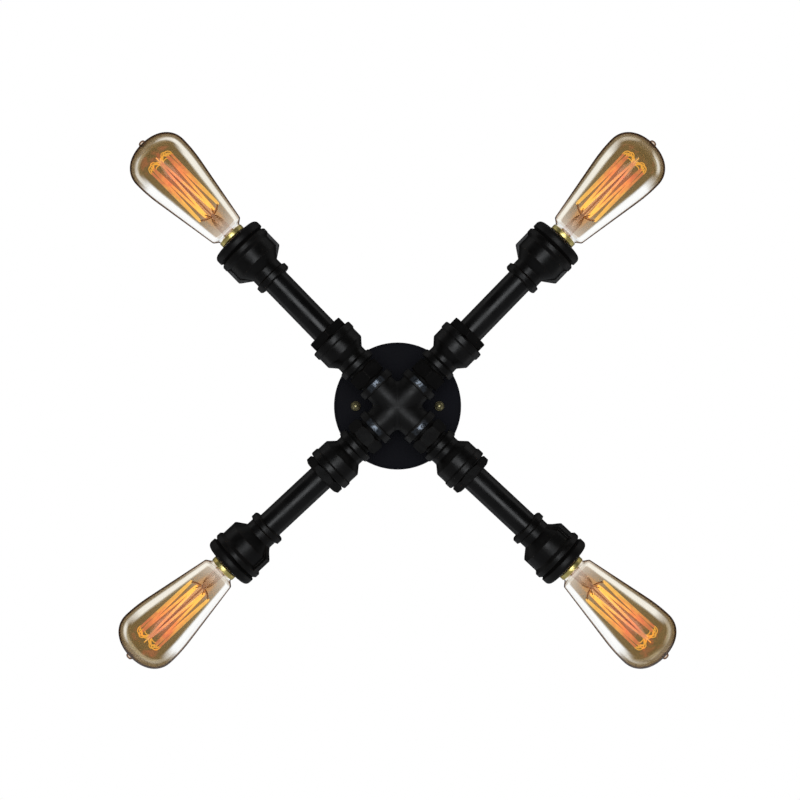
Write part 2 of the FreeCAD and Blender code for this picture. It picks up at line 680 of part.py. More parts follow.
def main():
    os.makedirs("parts", exist_ok=True)
    per_arm = {
        "hex_nipple": hex_nipple(),
        "inner_reducer": inner_reducer(),
        "hex_bushing": hex_bushing(),
        "arm_pipe": arm_pipe(),
        "lamp_cup": lamp_cup(),
        "lampholder": lampholder(),
        "holder_ring": holder_ring(),
        "bulb_cap": bulb_cap(),
        "bulb_contact": bulb_contact(),
        "bulb_glass": bulb_glass(),
        "bulb_stem": bulb_stem(),
        "bulb_filament": bulb_filament(),
    }
    for arm in ARMS:
        for piece, shape in per_arm.items():
            save(piece + "_" + arm, on_arm(shape, arm))
    for name, shape in (("holder_shells", holder_shell()), ("centre_tongues", centre_tongue())):
        save(name, Part.Compound([on_arm(shape, arm) for arm in ARMS]))
    save("pipe_cross", pipe_cross())
    save("stand_off_nipple", stand_off_nipple())
    save("locknuts", locknuts())
    save("wall_plate", wall_plate())
    save("mounting_bar", mounting_bar())
    save("mounting_studs", mounting_studs())
    save("earth_screw", earth_screw())
    save("cap_nut_left", cap_nut(-1))
    save("cap_nut_right", cap_nut(1))
    save("lead_wires", lead_wires())


main()
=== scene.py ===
"""Four-light wall fitting of threaded iron pipe: finishes, fine forms, studio and camera.

Lengths are in metres unless a name ends in MM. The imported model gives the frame: the wall is the plane y = 0,
the room is on the -Y side and +Z is up. Pieces along an arm are drawn along +X from the centre of the cross and
carried to the arm by arm_matrix.
"""

import json
import math

import bpy
from mathutils import Matrix, Vector

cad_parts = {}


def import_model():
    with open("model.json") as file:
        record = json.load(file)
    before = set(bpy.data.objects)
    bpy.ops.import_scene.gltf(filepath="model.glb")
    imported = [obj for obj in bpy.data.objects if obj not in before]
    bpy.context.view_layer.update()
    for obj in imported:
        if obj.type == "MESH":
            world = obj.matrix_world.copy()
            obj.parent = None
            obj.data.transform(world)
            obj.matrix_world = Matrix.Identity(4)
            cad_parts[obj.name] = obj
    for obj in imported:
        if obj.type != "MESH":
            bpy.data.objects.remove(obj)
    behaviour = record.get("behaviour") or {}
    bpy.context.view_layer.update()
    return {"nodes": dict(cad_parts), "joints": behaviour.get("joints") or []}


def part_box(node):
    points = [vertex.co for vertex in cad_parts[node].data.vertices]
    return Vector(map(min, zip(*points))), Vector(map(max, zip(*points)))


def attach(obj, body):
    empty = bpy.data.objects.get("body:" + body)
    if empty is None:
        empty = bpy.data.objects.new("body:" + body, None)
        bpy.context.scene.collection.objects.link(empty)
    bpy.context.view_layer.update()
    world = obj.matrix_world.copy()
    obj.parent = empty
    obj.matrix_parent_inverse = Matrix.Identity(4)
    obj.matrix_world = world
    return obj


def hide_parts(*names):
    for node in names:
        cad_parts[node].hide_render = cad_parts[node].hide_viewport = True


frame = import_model()

MM = 0.001
TAU = 2 * math.pi
ARM_NAMES = ("upper_right", "upper_left", "lower_left", "lower_right")

# --- places along an arm, in millimetres from the centre of the cross
RIM_FACE_MM = 226.9            # outer face of the lampholder's rim
CAP_EDGE_MM = 233.4            # open end of the bulb's screw cap
HOLDER_BACK_MM = 195.4         # back of the lampholder, where the lead wires end
SHELL_START_MM = 202.4         # the brass shell in the lampholder
SHELL_LENGTH_MM = 21.5

# --- lamp thread
PITCH_MM = 25.4 / 7
THREAD_DEPTH_MM = 0.65
CAP_CREST_MM = 13.15
SHELL_CREST_MM = 14.15
CAP_WALL_MM = 0.6
CAP_LENGTH_MM = 22.5
CAP_RIM_R_MM = 13.9
CAP_RIM_LENGTH_MM = 5.4
CAP_BASE_MM = 1.2              # rounded step between the cap's foot and its thread
FOOT_R_MM = 10.5

# --- bulb
GLASS_NECK_R_MM = 13.2
GLASS_IN_CAP_MM = 5.2
GLASS_WALL_MM = 0.9
OUTER_INSET_MM = 0.08          # keeps the round envelope inside the faceted solid's box
SHOULDER_R_MM = 18.5
SHOULDER_AT_MM = 6.0
TAPER_R_MM = 29.6
TAPER_AT_MM = 70.3
WIDEST_R_MM = 32.0
WIDEST_AT_MM = 97.5
DOME_MM = 25.2
DOME_POWER = 2.2
TIP_R_MM = 3.7
TIP_MM = 4.4
STEM_R_MM = 5.5
PINCH_AT_MM = 24.0
ROD_R_MM = 0.9
ROD_TOP_MM = 98.0
GLASS_IOR = 1.38
GLASS_SHEEN = (1.0, 0.66, 0.45, 1)   # tint of what it mirrors
NECK_REACH = 0.245             # distances from the origin between which the glass deepens
DOME_REACH = 0.345

# --- lampholder rims
RIM_OD_MM = 54.6
RIM_THICK_MM = 8.9
RIM_NOSE_MM = 4.6
RIM_BORE_MM = 30.6
RIM_SKIRT_R_MM = 20.9
GROOVE_OD_MM = 50.8
CUP_MOUTH_MM = 215.6
HOLDER_FRONT_MM = 209.6

# --- cap nuts
NUT_BORE_MM = 7.5
NUT_BORE_R_MM = 2.1
NUT_SKIRT_MM = 4.2
NUT_KNURLS = 24
NUT_KNURL_DEPTH_MM = 0.32

# --- lead wires
WIRE_R_MM = 1.1
WIRE_CORE_R_MM = 0.6
WIRE_PAIR_MM = 3.4
WIRE_LANE_MM = 5.6
WIRE_BEND_MM = 8.0
WIRE_TAIL_MM = 6.0
WIRE_STRIP_MM = 5.0

# --- filament cage
CAGE_R_MM = 13.2
CAGE_LOW_MM = 30.5
CAGE_HIGH_MM = 95.5
CAGE_TURNS = 8
STRAND_R_MM = 1.15
HOOK_R_MM = 0.5
CROWN_AT_MM = 2.4              # below the top of the rod, where the crown's wires leave it
LOOP_ANGLE = 0.045             # half the width of the loop that hangs on a hook
LOOP_MM = 2.6                  # its length
LOOP_SPREAD = 1.6              # how much wider its ends stand
GLOW_REACH = (0.285, 0.335)    # distances from the origin between which the glow changes

# --- rubbed fronts of the bands that end the cross's branches: reach from and to, depth from and to
CROSS_BAND_MM = (27.6, 34.2, -85.4, -87.6)

# --- facets around turned pieces
FACETS = 96
GLASS_FACETS = 128
SMALL_FACETS = 48
THREAD_FACETS = 72
THREAD_ROWS = 14               # rows of facets in one pitch


def joint(name):
    """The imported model's joint of that name."""
    return next(j for j in frame["joints"] if j["name"] == name)


def arm_matrix(arm):
    """Carries a piece drawn along +X to its arm."""
    turn = joint("bulb_turn_" + arm)
    out = Vector(turn["axis"]).normalized()
    across = Vector((0, 1, 0)).cross(out) * -1
    place = Matrix((out, Vector((0, 1, 0)), across)).transposed().to_4x4()
    return Matrix.Translation(Vector(turn["pos_m"])) @ place


# ---------------------------------------------------------------- mesh helpers


def new_piece(name, shape, body, matrix, material, replaces=()):
    """Makes a piece from a pair of vertices and faces, and hangs it on its body."""
    vertices, faces = shape
    mesh = bpy.data.meshes.new(name)
    mesh.from_pydata(vertices, [], faces)
    mesh.update()
    return hang(name, mesh, body, matrix, material, replaces)


def hang(name, mesh, body, matrix, material, replaces):
    """Sets a mesh in place as a piece, with its finish, on its body."""
    for polygon in mesh.polygons:
        polygon.use_smooth = True
    mesh.transform(matrix)
    mesh.materials.clear()
    mesh.materials.append(material)
    piece = bpy.data.objects.new(name, mesh)
    bpy.context.scene.collection.objects.link(piece)
    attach(piece, body)
    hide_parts(*replaces)
    return piece


def turned(profile, segments=FACETS, closed=False):
    """Vertices and faces of a surface of revolution about +X from (x, radius) pairs in millimetres."""
    vertices = []
    rings = []
    for x, r in profile:
        if r < 1e-6:
            rings.append([len(vertices)])
            vertices.append((x * MM, 0, 0))
            continue
        start = len(vertices)
        rings.append(list(range(start, start + segments)))
        vertices += [(x * MM, r * MM * math.cos(TAU * k / segments), r * MM * math.sin(TAU * k / segments))
                     for k in range(segments)]
    faces = []
    pairs = list(zip(rings, rings[1:]))
    if closed:
        pairs.append((rings[-1], rings[0]))
    for a, b in pairs:
        for k in range(segments):
            n = (k + 1) % segments
            if len(a) == 1 and len(b) == 1:
                continue
            if len(a) == 1:
                faces.append((a[0], b[n], b[k]))
            elif len(b) == 1:
                faces.append((a[k], a[n], b[0]))
            else:
                faces.append((a[k], a[n], b[n], b[k]))
    return vertices, faces


def threaded_tube(x0, x1, crest):
    """Rolled sheet thread: both skins follow one helix, which fades out at the ends. Lengths in millimetres."""
    segments = THREAD_FACETS
    rows = round((x1 - x0) / PITCH_MM * THREAD_ROWS)
    vertices = []
    for inset in (0.0, CAP_WALL_MM):
        for i in range(rows + 1):
            x = x0 + (x1 - x0) * i / rows
            fade = min(1.0, (x - x0) / PITCH_MM * 1.5, (x1 - x) / PITCH_MM * 2.5)
            for k in range(segments):
                wave = 0.5 - 0.5 * math.cos(TAU * (x / PITCH_MM - k / segments))
                r = crest - inset - THREAD_DEPTH_MM * wave * fade
                angle = TAU * k / segments
                vertices.append((x * MM, r * MM * math.cos(angle), r * MM * math.sin(angle)))
    faces = []
    skin = (rows + 1) * segments
    for i in range(rows):
        for k in range(segments):
            n = (k + 1) % segments
            a, b, c, d = i * segments + k, i * segments + n, (i + 1) * segments + n, (i + 1) * segments + k
            faces.append((a, b, c, d))
            faces.append((a + skin, d + skin, c + skin, b + skin))
    for k in range(segments):
        n = (k + 1) % segments
        last = rows * segments
        faces.append((k, k + skin, n + skin, n))
        faces.append((last + k, last + n, last + n + skin, last + k + skin))
    return vertices, faces


def tube_curve(name, paths, radius, body, matrix, material, replaces=(), resolution=6):
    """Round wires along lists of points in millimetres, as one mesh piece."""
    curve = bpy.data.curves.new(name, "CURVE")
    curve.dimensions = "3D"
    curve.bevel_depth = radius * MM
    curve.bevel_resolution = 3
    curve.use_fill_caps = True
    curve.resolution_u = resolution
    for path in paths:
        spline = curve.splines.new("NURBS")
        spline.points.add(len(path) - 1)
        for point, at in zip(spline.points, path):
            point.co = (at[0] * MM, at[1] * MM, at[2] * MM, 1)
        spline.order_u = 3
        spline.use_endpoint_u = True
    holder = bpy.data.objects.new(name, curve)
    bpy.context.scene.collection.objects.link(holder)
    bpy.context.view_layer.update()
    mesh = bpy.data.meshes.new_from_object(holder.evaluated_get(bpy.context.evaluated_depsgraph_get()))
    bpy.data.objects.remove(holder)
    mesh.name = name
    hang(name, mesh, body, matrix, material, replaces)


# ---------------------------------------------------------------- materials


class Tree:
    """Short forms for building a tree of nodes."""

    def __init__(self, tree):
        self.tree = tree

    def add(self, kind, **inputs):
        node = self.tree.nodes.new(kind)
        for key, value in inputs.items():
            node.inputs[key.replace("_", " ")].default_value = value
        return node

    def link(self, source, target):
        self.tree.links.new(source, target)

    def feed(self, sockets, values):
        """Gives each socket its value, which is a constant or another node's output."""
        for socket, value in zip(sockets, values):
            if isinstance(value, (int, float, tuple)):
                socket.default_value = value
            else:
                self.link(value, socket)

    def place(self, kind="Object"):
        """The object's own coordinates; in a world, Generated is the direction of the ray."""
        return self.add("ShaderNodeTexCoord").outputs[kind]

    def part(self, vector, axis):
        split = self.add("ShaderNodeSeparateXYZ")
        self.link(vector, split.inputs["Vector"])
        return split.outputs[axis]

    def ramp(self, factor, stops):
        """Colour ramp from (position, colour or grey) stops."""
        node = self.add("ShaderNodeValToRGB")
        band = node.color_ramp.elements
        while len(band) < len(stops):
            band.new(0.5)
        for element, (at, colour) in zip(band, stops):
            element.position = at
            element.color = (*colour, 1) if isinstance(colour, tuple) else (colour, colour, colour, 1)
        self.link(factor, node.inputs["Fac"])
        return node.outputs["Color"]

    def math(self, operation, *values):
        node = self.add("ShaderNodeMath")
        node.operation = operation
        self.feed(node.inputs, values)
        return node.outputs["Value"]

    def seen(self):
        """1 for rays from the camera and for rays through glass, 0 for the others."""
        path = self.add("ShaderNodeLightPath")
        return self.math("MAXIMUM", path.outputs["Is Camera Ray"], path.outputs["Is Transmission Ray"])


class Nodes(Tree):
    """Short forms for building one material's nodes."""

    def __init__(self, name):
        self.material = bpy.data.materials.new(name)
        self.material.use_nodes = True
        super().__init__(self.material.node_tree)
        self.shader = self.tree.nodes["Principled BSDF"]

    def set(self, **values):
        for key, value in values.items():
            self.shader.inputs[key.replace("_", " ")].default_value = value

    def to(self, source, socket):
        self.link(source, self.shader.inputs[socket])

    def noise(self, scale, detail=4.0, roughness=0.6):
        """Noise over the object's own coordinates, in cells per metre."""
        node = self.add("ShaderNodeTexNoise", Scale=scale, Detail=detail, Roughness=roughness)
        self.link(self.place(), node.inputs["Vector"])
        return node.outputs["Fac"]

    def span(self, factor, low, high, first=0.0, last=1.0):
        """Maps a factor's low..high to first..last."""
        node = self.add("ShaderNodeMapRange")
        keys = ("Value", "From Min", "From Max", "To Min", "To Max")
        self.feed((node.inputs[key] for key in keys), (factor, low, high, first, last))
        return node.outputs["Result"]

    def depth(self):
        """Place along Y, which is 0 at the wall and falls towards the room."""
        return self.part(self.place(), "Y")

    def reach(self, flat=False):
        """Distance from the origin of the frame, which grows along an arm; the flat one leaves Y out of it."""
        place = self.place()
        if flat:
            press = self.add("ShaderNodeMapping", Scale=(1, 0, 1))
            self.link(place, press.inputs["Vector"])
            place = press.outputs["Vector"]
        length = self.add("ShaderNodeVectorMath")
        length.operation = "LENGTH"
        self.link(place, length.inputs[0])
        return length.outputs["Value"]

    def facing(self):
        """0 where the surface is seen straight on, 1 where it is seen edge on."""
        return self.add("ShaderNodeLayerWeight", Blend=0.5).outputs["Facing"]

    def times(self, first, second):
        return self.math("MULTIPLY", first, second)

    def less(self, first, second):
        return self.math("SUBTRACT", first, second)

    def mix(self, factor, first, second, blend="MIX"):
        """Two colours mixed by a factor, each a socket or a constant."""
        node = self.add("ShaderNodeMix")
        node.data_type = "RGBA"
        node.blend_type = blend
        sockets = {socket.identifier: socket for socket in node.inputs}
        self.feed((sockets[key] for key in ("Factor_Float", "A_Color", "B_Color")), (factor, first, second))
        return next(o for o in node.outputs if o.identifier == "Result_Color")

    def rounded(self, radius):
        """Normal of the surface with its edges rounded by a radius in millimetres."""
        edge = self.add("ShaderNodeBevel", Radius=radius * MM)
        edge.samples = 4
        return edge.outputs["Normal"]

    def wear(self, normal):
        """1 where the rounded normal leaves the flat one, which is at the edges, and 0 elsewhere."""
        dot = self.add("ShaderNodeVectorMath")
        dot.operation = "DOT_PRODUCT"
        self.link(normal, dot.inputs[0])
        self.link(self.add("ShaderNodeNewGeometry").outputs["Normal"], dot.inputs[1])
        return self.span(dot.outputs["Value"], 0.985, 0.88)

    def bump(self, layers, normal=None):
        """Stacks bumps given as (height, strength, distance in millimetres) on a normal."""
        for height, strength, distance in layers:
            node = self.add("ShaderNodeBump", Strength=strength, Distance=distance * MM)
            self.link(height, node.inputs["Height"])
            if normal:
                self.link(normal, node.inputs["Normal"])
            normal = node.outputs["Normal"]
        self.to(normal, "Normal")


def cast_iron(name, roughness, level, rubbed=None):
    """Black malleable casting: sand grain, soft lumps, browner edges.

    Where rubbed gives a band of reach and depth in millimetres, bare steel shows there in patches.
    """
    m = Nodes(name)
    lumps = m.noise(120, 3)
    grain = m.noise(1100, 2, 0.7)
    tone = m.ramp(lumps, [(0.3, (0.0020, 0.0017, 0.0015)), (0.55, (0.0027, 0.0024, 0.0022)),
                          (0.75, (0.0045, 0.0040, 0.0037))])
    edge = m.rounded(0.9)
    worn = m.times(m.wear(edge), m.span(lumps, 0.40, 0.60, 0.2, 1.0))
    tone = m.mix(worn, tone, (0.017, 0.011, 0.008, 1))
    rough = m.span(lumps, 0.35, 0.65, roughness, roughness + 0.14)
    if rubbed:
        low, high, back, front = (place * MM for place in rubbed)
        reach = m.reach(flat=True)
        ring = m.times(m.span(reach, low, low + MM), m.span(reach, high, high - MM))
        band = m.times(ring, m.span(m.depth(), back, front))
        bare = m.times(band, m.span(m.noise(380, 2), 0.42, 0.54, 0.15, 1.0))
        tone = m.mix(bare, tone, (0.068, 0.078, 0.092, 1))
        rough = m.mix(bare, rough, (0.22, 0.22, 0.22, 1))
        m.to(bare, "Metallic")
    m.to(tone, "Base Color")
    m.to(rough, "Roughness")
    m.set(Specular_IOR_Level=level)
    m.bump([(lumps, 0.35, 0.30), (grain, 0.35, 0.08)], edge)
    return m.material


def lacquered_pipe():
    """Black lacquered pipe: drawn smooth, with a cloudy gloss."""
    m = Nodes("pipe_black")
    cloud = m.noise(45, 3)
    grain = m.noise(1600, 2, 0.6)
    m.to(m.ramp(cloud, [(0.3, (0.0020, 0.0018, 0.0018)), (0.7, (0.0036, 0.0033, 0.0033))]), "Base Color")
    m.to(m.span(cloud, 0.38, 0.62, 0.22, 0.36), "Roughness")
    m.set(Specular_IOR_Level=0.28)
    m.bump([(cloud, 0.1, 0.3), (grain, 0.10, 0.02)], m.rounded(0.4))
    return m.material


def matt_plate():
    """Smooth matt black sheet with a faint orange peel and a cool tone."""
    m = Nodes("plate_black")
    peel = m.noise(700, 2, 0.5)
    cloud = m.noise(25, 2)
    m.to(m.ramp(cloud, [(0.3, (0.0040, 0.0040, 0.0068)), (0.7, (0.0056, 0.0057, 0.0096))]), "Base Color")
    m.to(m.span(cloud, 0.3, 0.7, 0.66, 0.74), "Roughness")
    m.set(Specular_IOR_Level=0.12)
    m.bump([(peel, 0.12, 0.04)], m.rounded(0.4))
    return m.material


def phenolic():
    """Black moulded lampholder rim."""
    m = Nodes("rim_black")
    cloud = m.noise(90, 3)
    grain = m.noise(1400, 2)
    m.to(m.ramp(cloud, [(0.3, (0.0030, 0.0026, 0.0024)), (0.7, (0.0055, 0.0050, 0.0048))]), "Base Color")
    m.to(m.span(cloud, 0.3, 0.7, 0.38, 0.48), "Roughness")
    m.set(Specular_IOR_Level=0.2)
    m.bump([(grain, 0.2, 0.04)])
    return m.material


def brass(name, low, high, roughness):
    """Brass, or another plain metal, in two close tones with a fine grain."""
    m = Nodes(name)
    cloud = m.noise(150, 4)
    fine = m.noise(2500, 2, 0.6)
    m.to(m.ramp(cloud, [(0.35, low), (0.65, high)]), "Base Color")
    m.to(m.span(cloud, 0.3, 0.7, roughness, roughness + 0.1), "Roughness")
    m.set(Metallic=1.0)
    m.bump([(fine, 0.15, 0.03)])
    return m.material


def zinc():
    """Zinc-plated steel with a soft spangle."""
    m = Nodes("zinc_steel")
    cloud = m.noise(300, 3)
    m.to(m.ramp(cloud, [(0.35, (0.50, 0.51, 0.52)), (0.65, (0.64, 0.64, 0.63))]), "Base Color")
    m.to(m.span(cloud, 0.3, 0.7, 0.28, 0.42), "Roughness")
    m.set(Metallic=1.0)
    m.bump([(cloud, 0.15, 0.05)])
    return m.material


def ceramic(name, low, high, roughness):
    """Ceramic or fused glass: two close tones in clouds."""
    m = Nodes(name)
    cloud = m.noise(200, 4)
    m.to(m.ramp(cloud, [(0.35, low), (0.65, high)]), "Base Color")
    m.to(m.span(cloud, 0.3, 0.7, roughness, roughness + 0.08), "Roughness")
    m.bump([(cloud, 0.1, 0.08)])
    return m.material


def along_cage(m):
    """0 to 1 along the filament cage, from 8 mm below it to 6 mm above it."""
    return m.span(m.reach(), (CAP_EDGE_MM + CAGE_LOW_MM - 8) * MM, (CAP_EDGE_MM + CAGE_HIGH_MM + 6) * MM)


def tip_glass(name):
    """The solid glass bead of the sealed tip, dark at its edge."""
    m = Nodes(name)
    m.to(m.ramp(m.facing(), [(0.0, (0.95, 0.88, 0.80)), (0.08, (0.62, 0.46, 0.34)), (0.20, (0.14, 0.08, 0.05))]),
         "Base Color")
    m.set(Roughness=0.02, IOR=1.2, Transmission_Weight=1.0)
    return m.material


def outside_facing(m, inside):
    """As facing, but from inside the glass, where the ray is bent, it gives the angle outside."""
    straight = m.less(1.0, m.facing())
    aside = m.times(m.less(1.0, m.times(straight, straight)), m.span(inside, 0.0, 1.0, 1.0, GLASS_IOR ** 2))
    return m.less(1.0, m.math("SQRT", m.math("MAXIMUM", m.less(1.0, aside), 0.0)))


def bulb_glass(name):
    """Outer skin of thin amber glass, dark where it is seen edge on.

    The amber deepens from neck to dome. In front of the filament an orange painted glow stands for its light on the
    glass. Clear strips along the flanks of the taper are painted reflections of the lamps, wider and whiter on the
    side that faces down. The dome has painted highlights in broken pale arcs, and red-brown patches that are
    painted reflections of the filament.
    """
    m = Nodes(name)
    surface = m.add("ShaderNodeNewGeometry")
    inside = surface.outputs["Backfacing"]
    facing = outside_facing(m, inside)
    along = m.reach()

    amber_and_painted_light = m.ramp(m.span(along, NECK_REACH, DOME_REACH),
                  [(0.0, (0.66, 0.56, 0.46)), (0.16, (0.42, 0.33, 0.24)),
                   (0.36, (0.23, 0.165, 0.080)), (1.0, (0.18, 0.115, 0.042))])
    cage = along_cage(m)
    # painted glow: orange where the glass in front of the cage faces the viewer, for the filament's light on it
    painted_glow = m.times(m.ramp(facing, [(0.03, 1.0), (0.11, 0.0)]),
                   m.ramp(cage, [(0.0, 0.0), (0.12, 1.0), (0.85, 1.0), (1.0, 0.0)]))
    amber_and_painted_light = m.mix(painted_glow, amber_and_painted_light, m.ramp(cage, [(0.2, (0.60, 0.29, 0.10)), (0.8, (0.42, 0.15, 0.075))]))
    # painted reflections: red-brown patches where the dome faces the viewer, for images of the filament
    dome = m.span(along, DOME_REACH - 0.006, DOME_REACH + 0.004)
    middle = m.times(dome, m.ramp(facing, [(0.16, 1.0), (0.26, 0.0)]))
    amber_and_painted_light = m.mix(m.times(middle, m.span(m.noise(75, 1), 0.54, 0.62)), amber_and_painted_light, (0.46, 0.13, 0.055, 1))

    outward = m.times(m.part(surface.outputs["Normal"], "Z"), m.span(inside, 0.0, 1.0, 1.0, -1.0))
    taper = m.span(along, DOME_REACH, DOME_REACH - 0.016)
    under = m.times(m.span(outward, 0.08, -0.08), taper)
    # painted reflections: clear strips along the flanks of the taper, wider and whiter on the side that faces down
    painted_low_strip = m.ramp(facing, [(0.24, 0.0), (0.30, 1.0), (0.68, 1.0), (0.72, 0.5)])
    painted_high_strip = m.ramp(facing, [(0.23, 0.0), (0.29, 0.88), (0.45, 0.88), (0.53, 0.05)])
    # painted highlights: broken pale arcs on the dome
    painted_dome_arcs = m.times(m.ramp(facing, [(0.30, 0.0), (0.36, 1.0), (0.44, 1.0), (0.51, 0.05)]),
                  m.span(m.noise(26, 1), 0.45, 0.56, 0.06, 0.9))
    clear = m.mix(taper, painted_dome_arcs, m.mix(under, painted_high_strip, painted_low_strip))
    # amber mixed with the painted reflection strips and painted highlight arcs
    tint_and_painted_light = m.mix(clear, amber_and_painted_light, m.mix(under, (1.0, 0.95, 0.84, 1), (1.0, 1.0, 0.99, 1)))

    edge = m.ramp(facing, [(0.62, 1.0), (0.70, (0.30, 0.19, 0.12)), (0.86, (0.12, 0.070, 0.040))])
    m.to(m.mix(1.0, tint_and_painted_light, edge, "MULTIPLY"), "Base Color")
    m.set(Roughness=0.0, IOR=GLASS_IOR, Transmission_Weight=1.0, Specular_Tint=GLASS_SHEEN)
    m.bump([(m.noise(28, 2), 0.05, 0.4)])
    return m.material


def inner_glass(name):
    """Inner skin of the envelope, clear with faint clouds."""
    m = Nodes(name)
    m.to(m.ramp(m.noise(28, 2), [(0.3, (0.99, 0.99, 0.98)), (0.7, (1.0, 1.0, 1.0))]), "Base Color")
    m.set(Roughness=0.0, IOR=GLASS_IOR, Transmission_Weight=1.0, Specular_Tint=GLASS_SHEEN)
    return m.material


def stem_glass(name):
    """Pale glass of the stem, which turns into the dull red-brown of the rod as the cage begins."""
    m = Nodes(name)
    foot = m.ramp(m.facing(), [(0.0, (0.90, 0.84, 0.82)), (0.6, (0.72, 0.60, 0.58)), (1.0, (0.40, 0.30, 0.30))])
    cage = along_cage(m)
    m.to(m.mix(m.ramp(cage, [(0.0, 0.0), (0.2, 1.0)]), foot, (0.32, 0.16, 0.085, 1)), "Base Color")
    m.to(m.ramp(cage, [(0.0, 1.0), (0.2, 0.0)]), "Transmission Weight")
    m.to(m.ramp(cage, [(0.0, 0.08), (0.2, 0.75)]), "Roughness")
    m.set(IOR=1.3)
    return m.material


def glowing(name, low, high, strength):
    """Glowing wire: its colour runs from low to high as it nears the dome, with flicker."""
    m = Nodes(name)
    along = m.span(m.reach(), *GLOW_REACH)
    flicker = m.span(m.noise(160, 2), 0.3, 0.7, -0.25, 0.25)
    m.to(m.ramp(m.math("ADD", along, flicker), [(0.0, low), (1.0, high)]), "Emission Color")
    m.set(Base_Color=(0.05, 0.02, 0.01, 1), Roughness=0.6, Emission_Strength=strength)
    return m.material


def insulation(name, colour):
    """Plain plastic cover of a wire, a little darker in clouds."""
    m = Nodes(name)
    cloud = m.noise(300, 2)
    m.to(m.ramp(cloud, [(0.3, tuple(c * 0.8 for c in colour)), (0.7, colour)]), "Base Color")
    m.set(Roughness=0.45)
    m.bump([(cloud, 0.1, 0.05)])
    return m.material


IRON = cast_iron("cast_iron_black", 0.28, 0.22)
HEX_IRON = cast_iron("hex_iron_black", 0.50, 0.12)
CROSS_IRON = cast_iron("cross_iron_black", 0.40, 0.28, CROSS_BAND_MM)
PIPE = lacquered_pipe()
PLATE = matt_plate()
RIM = phenolic()
CAP_BRASS = brass("cap_brass", (0.96, 0.74, 0.22), (1.0, 0.90, 0.38), 0.34)
NUT_BRASS = brass("nut_brass", (0.42, 0.37, 0.18), (0.50, 0.45, 0.26), 0.36)
SHEET_BRASS = brass("sheet_brass", (0.50, 0.36, 0.14), (0.66, 0.48, 0.22), 0.3)
ZINC = zinc()
STEATITE = ceramic("steatite", (0.70, 0.68, 0.62), (0.82, 0.80, 0.74), 0.5)
VITRITE = ceramic("vitrite", (0.012, 0.010, 0.014), (0.022, 0.018, 0.026), 0.25)
# amber glass with painted reflections, painted highlights and a painted glow in its colour
AMBER_WITH_PAINTED_LIGHT = bulb_glass("amber_glass_painted_light")
CLEAR = inner_glass("clear_glass")
TIP = tip_glass("tip_glass")
STEM = stem_glass("stem_glass")
GLOW = glowing("filament_glow", (0.96, 0.62, 0.19), (0.67, 0.25, 0.16), 2.1)
# painted glow: the crown's support wires glow like the filament, for its light falling on them
CROWN_PAINTED_GLOW = glowing("crown_painted_glow", (0.92, 0.56, 0.15), (0.92, 0.52, 0.12), 2.2)
HOOK_WIRE = brass("hook_wire", (0.46, 0.30, 0.24), (0.60, 0.42, 0.34), 0.4)
LIVE = insulation("wire_black", (0.02, 0.02, 0.02))
COPPER = brass("copper", (0.70, 0.33, 0.20), (0.85, 0.45, 0.28), 0.25)
NEUTRAL = insulation("wire_white", (0.7, 0.68, 0.64))

NODE_FINISH = {
    "pipe_cross": CROSS_IRON, "inner_reducer": IRON, "lamp_cup": IRON,
    "hex_bushing": HEX_IRON, "hex_nipple": HEX_IRON, "arm_pipe": PIPE, "stand_off_nipple": PIPE, "locknuts": PIPE,
    "wall_plate": PLATE, "holder_ring": RIM, "lampholder": STEATITE,
    "holder_shells": SHEET_BRASS, "centre_tongues": SHEET_BRASS, "bulb_cap": CAP_BRASS,
    "bulb_contact": VITRITE, "bulb_glass": AMBER_WITH_PAINTED_LIGHT, "bulb_stem": STEM, "bulb_filament": GLOW, "mounting_bar": ZINC,
    "mounting_studs": ZINC, "earth_screw": ZINC, "cap_nut": NUT_BRASS, "lead_wires": LIVE,
}


def finish_nodes():
    """Gives every node of the model its finish."""
    for name, node in frame["nodes"].items():
        kind = next(k for k in NODE_FINISH if name.startswith(k))
        node.data.materials.clear()
        node.data.materials.append(NODE_FINISH[kind])
        for polygon in node.data.polygons:
            polygon.material_index = 0


# ---------------------------------------------------------------- bulbs


def glass_profile(inset):
    """(x, radius) of the envelope from its neck to the dome's end, set in by the wall."""
    slope = (TAPER_R_MM - SHOULDER_R_MM) / (TAPER_AT_MM - SHOULDER_AT_MM)
    neck = (SHOULDER_AT_MM / 10, GLASS_NECK_R_MM - inset)
    shoulder = (SHOULDER_AT_MM, SHOULDER_R_MM - inset)
    taper = (TAPER_AT_MM, TAPER_R_MM - inset)
    widest = (WIDEST_AT_MM, WIDEST_R_MM - inset)
    points = [(-GLASS_IN_CAP_MM, neck[1])]
    points += [hermite(t / 12, neck, shoulder, 0.0, slope) for t in range(13)]
    points += [hermite(t / 10, shoulder, taper, slope, slope) for t in range(1, 11)]
    points += [hermite(t / 10, taper, widest, slope, 0.0) for t in range(1, 11)]
    for t in range(1, 24):
        a = t / 24 * math.pi / 2
        points.append((widest[0] + (DOME_MM - inset) * math.sin(a) ** (2 / DOME_POWER),
                       widest[1] * math.cos(a) ** (2 / DOME_POWER)))
    points.append((widest[0] + DOME_MM - inset, 0.0))
    return [(CAP_EDGE_MM + x, r) for x, r in points]


def hermite(t, first, last, slope_first, slope_last):
    """Point of a cubic between two (x, r) points with the given slopes."""
    run = last[0] - first[0]
    h1, h2 = 2 * t ** 3 - 3 * t ** 2 + 1, t ** 3 - 2 * t ** 2 + t
    h3, h4 = -2 * t ** 3 + 3 * t ** 2, t ** 3 - t ** 2
    r = h1 * first[1] + h2 * run * slope_first + h3 * last[1] + h4 * run * slope_last
    return first[0] + run * t, r


